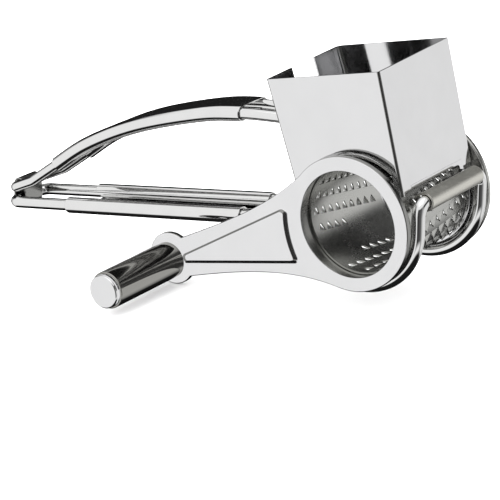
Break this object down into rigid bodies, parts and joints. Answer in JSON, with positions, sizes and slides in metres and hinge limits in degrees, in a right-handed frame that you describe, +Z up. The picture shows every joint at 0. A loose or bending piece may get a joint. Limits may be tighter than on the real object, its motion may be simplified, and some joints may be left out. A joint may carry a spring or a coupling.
{
  "type": "rotary cheese grater",
  "caption": "Hand-held rotary cheese grater in polished steel: crank with knob on a toothed drum, square hopper above it, hinged press arm and bent-rod handles.",
  "frame": {"origin": "centre of the bounding box at its lowest level, where the surface it stands on would be", "axes": "+X from the handles' hinge to the hopper, along the handles; +Y along the drum's axis, from the crank side to the open rear side; +Z up"},
  "size_m": [0.2228, 0.1032, 0.0995],
  "materials": {
    "polished": "mirror-polished stainless steel",
    "satin": "satin stainless steel",
    "dark": "polished, reflecting a dark room",
    "nylon": "plain white nylon"
  },
  "bodies": {
    "frame": {"hopper_shell": "polished", "lower_frame_rod": "polished", "lower_grip": "polished", "hinge_sleeve": "satin"},
    "drum": {"crank_plate": "polished", "drum_front_collar": "polished", "drum_grater_cylinder": "satin", "drum_rear_collar": "polished", "drum_rear_flange": "polished", "knob_axle": "satin", "knob_washer": "nylon"},
    "knob": {"knob_sleeve": "dark", "knob_inner_bush": "nylon", "knob_outer_bush": "nylon", "knob_end_cap": "dark"},
    "press_arm": {"upper_frame_rod": "polished", "upper_grip": "polished", "press_plate": "satin"}
  },
  "joints": [
    {"name": "drum_spin", "type": "hinge", "parent": "frame", "child": "drum", "pos_m": [0.08103, -0.00785, 0.03888], "axis": [0, 1, 0], "continuous": true},
    {"name": "knob_spin", "type": "hinge", "parent": "drum", "child": "knob", "pos_m": [-0.00382, -0.02785, 0.01078], "axis": [0, 1, 0], "continuous": true},
    {"name": "press_arm_swing", "type": "hinge", "parent": "frame", "child": "press_arm", "pos_m": [-0.10731, 0.0229, 0.01883], "axis": [0, -1, 0], "range_deg": [0, 150]}
  ]
}
